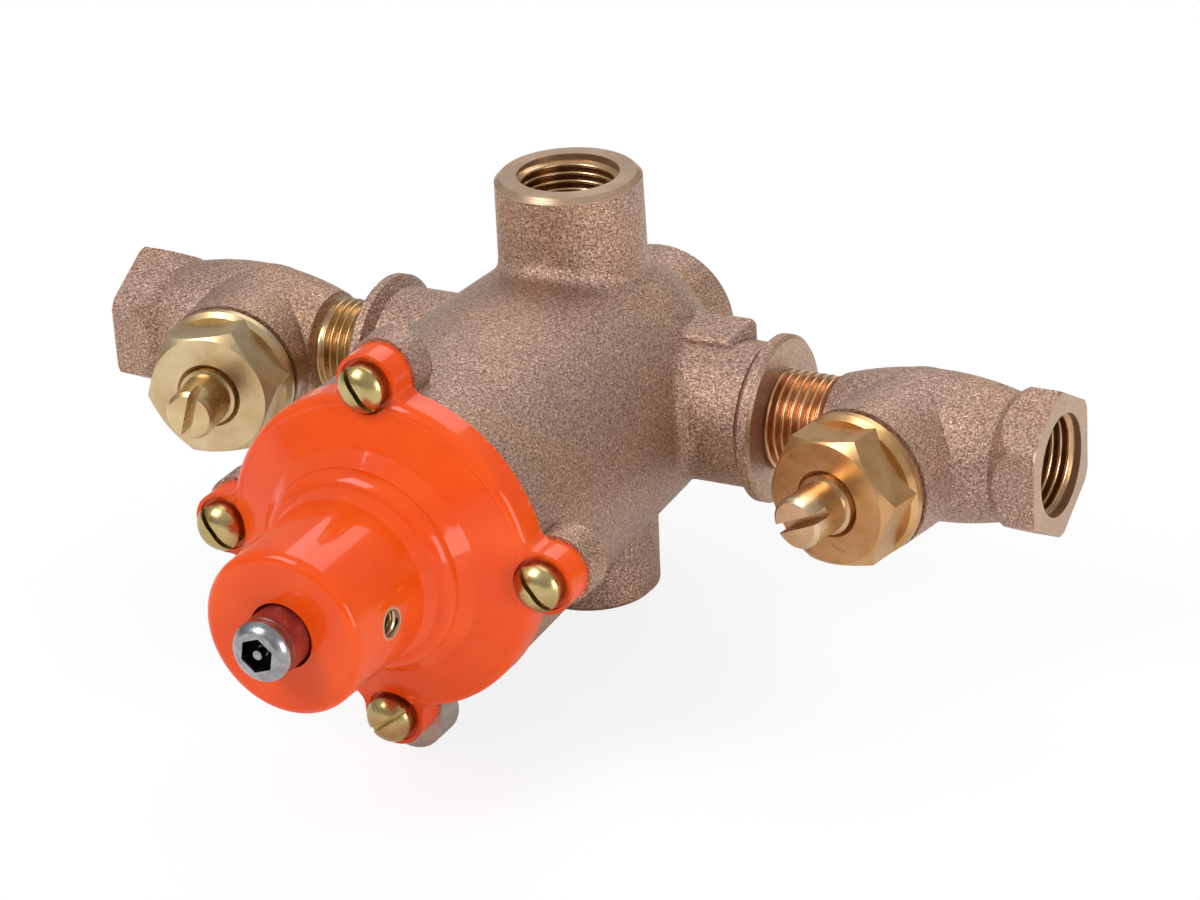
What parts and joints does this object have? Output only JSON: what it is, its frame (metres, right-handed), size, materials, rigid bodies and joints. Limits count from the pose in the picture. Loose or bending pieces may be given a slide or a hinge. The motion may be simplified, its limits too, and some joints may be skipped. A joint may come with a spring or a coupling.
{
  "type": "mixing valve",
  "caption": "Bronze thermostatic mixing valve: two threaded inlets with slotted check stops, a top outlet, and a front cartridge under a bolted orange adjustment cap.",
  "frame": {"origin": "centre of the outlet's face", "axes": "+Z out of the outlet, +X from the left inlet to the right inlet, -Y towards the adjustment cap"},
  "size_m": [0.216, 0.1702, 0.0944],
  "materials": {
    "cast_bronze": "sand-cast bronze with a fine grain, machined at its faces",
    "orange_enamel": "glossy orange enamel over a casting",
    "seal_rubber": "moulded rubber",
    "screw_brass": "polished brass",
    "stem_enamel": "red-brown enamel",
    "screw_steel": "bright stainless steel",
    "turned_brass": "turned brass",
    "spring_steel": "drawn wire",
    "stainless": "turned stainless steel",
    "motor_copper": "drawn copper alloy",
    "gasket_fibre": "pressed fibre",
    "nut_brass_right": "machined tan brass",
    "nut_brass_left": "machined pale brass",
    "stem_brass": "turned pale brass"
  },
  "bodies": {
    "root": {"valve_body": "cast_bronze", "adjustment_cap": "orange_enamel", "cap_seal": "seal_rubber", "cap_screws": "screw_brass", "locking_screw": "screw_steel", "liner": "turned_brass", "liner_seal_back": "seal_rubber", "liner_seal_middle": "seal_rubber", "liner_seal_front": "seal_rubber", "liner_ring": "spring_steel", "return_spring": "spring_steel", "right_stop_body": "cast_bronze", "right_bonnet_nut": "nut_brass_right", "right_bonnet_gasket": "gasket_fibre", "left_stop_body": "cast_bronze", "left_bonnet_nut": "nut_brass_left", "left_bonnet_gasket": "gasket_fibre"},
    "thrust_carrier": {"thrust_cup": "turned_brass", "motor_ring": "spring_steel", "overload_spring": "spring_steel"},
    "adjuster": {"adjusting_stem": "stem_enamel", "stem_seal": "seal_rubber", "tamper_screw": "screw_steel"},
    "motor": {"thermal_motor": "motor_copper", "motor_bellows": "motor_copper"},
    "piston": {"mixing_piston": "turned_brass", "push_rod": "stainless"},
    "right_stem_carrier": {"right_spring_seat": "stainless"},
    "right_stem": {"right_stop_stem": "stem_brass", "right_stop_seal": "seal_rubber"},
    "right_check": {"right_check_poppet": "turned_brass", "right_check_washer": "seal_rubber", "right_check_spring": "spring_steel"},
    "left_stem_carrier": {"left_spring_seat": "stainless"},
    "left_stem": {"left_stop_stem": "stem_brass", "left_stop_seal": "seal_rubber"},
    "left_check": {"left_check_poppet": "turned_brass", "left_check_washer": "seal_rubber", "left_check_spring": "spring_steel"}
  },
  "joints": [
    {"name": "adjuster_travel", "type": "slide", "parent": "root", "child": "thrust_carrier", "axis": [0, 1, 0], "range_m": [-0.00225, 0.00225]},
    {"name": "adjuster_turn", "type": "hinge", "parent": "thrust_carrier", "child": "adjuster", "pos_m": [0, 0, -0.048], "axis": [0, 1, 0], "range_deg": [-545, 545]},
    {"name": "motor_overtravel", "type": "slide", "parent": "thrust_carrier", "child": "motor", "axis": [0, -1, 0], "range_m": [0, 0.004], "stiffness_N_per_m": 8000, "springref_m": -0.002, "deforming": ["overload_spring"]},
    {"name": "rod_stroke", "type": "slide", "parent": "motor", "child": "piston", "axis": [0, 1, 0], "range_m": [-0.0015, 0.003], "stiffness_N_per_m": 3000, "deforming": ["motor_bellows", "return_spring"]},
    {"name": "right_stop_travel", "type": "slide", "parent": "root", "child": "right_stem_carrier", "axis": [0.1736, 0.9848, 0], "range_m": [0, 0.004]},
    {"name": "right_stop_turn", "type": "hinge", "parent": "right_stem_carrier", "child": "right_stem", "pos_m": [0.0776, 0, -0.048], "axis": [0.1736, 0.9848, 0], "range_deg": [-5, 965]},
    {"name": "right_check_lift", "type": "slide", "parent": "root", "child": "right_check", "axis": [-0.1736, -0.9848, 0], "range_m": [0, 0.0035], "stiffness_N_per_m": 400, "springref_m": -0.003, "deforming": ["right_check_spring"]},
    {"name": "left_stop_travel", "type": "slide", "parent": "root", "child": "left_stem_carrier", "axis": [-0.1736, 0.9848, 0], "range_m": [0, 0.004]},
    {"name": "left_stop_turn", "type": "hinge", "parent": "left_stem_carrier", "child": "left_stem", "pos_m": [-0.0776, 0, -0.048], "axis": [-0.1736, 0.9848, 0], "range_deg": [-5, 965]},
    {"name": "left_check_lift", "type": "slide", "parent": "root", "child": "left_check", "axis": [0.1736, -0.9848, 0], "range_m": [0, 0.0035], "stiffness_N_per_m": 400, "springref_m": -0.003, "deforming": ["left_check_spring"]}
  ],
  "couplings": [
    {"joint": "adjuster_turn", "follows": "adjuster_travel", "rad_per_m": 4188.8},
    {"joint": "right_stop_turn", "follows": "right_stop_travel", "rad_per_m": 4188.8},
    {"joint": "left_stop_turn", "follows": "left_stop_travel", "rad_per_m": 4188.8}
  ]
}
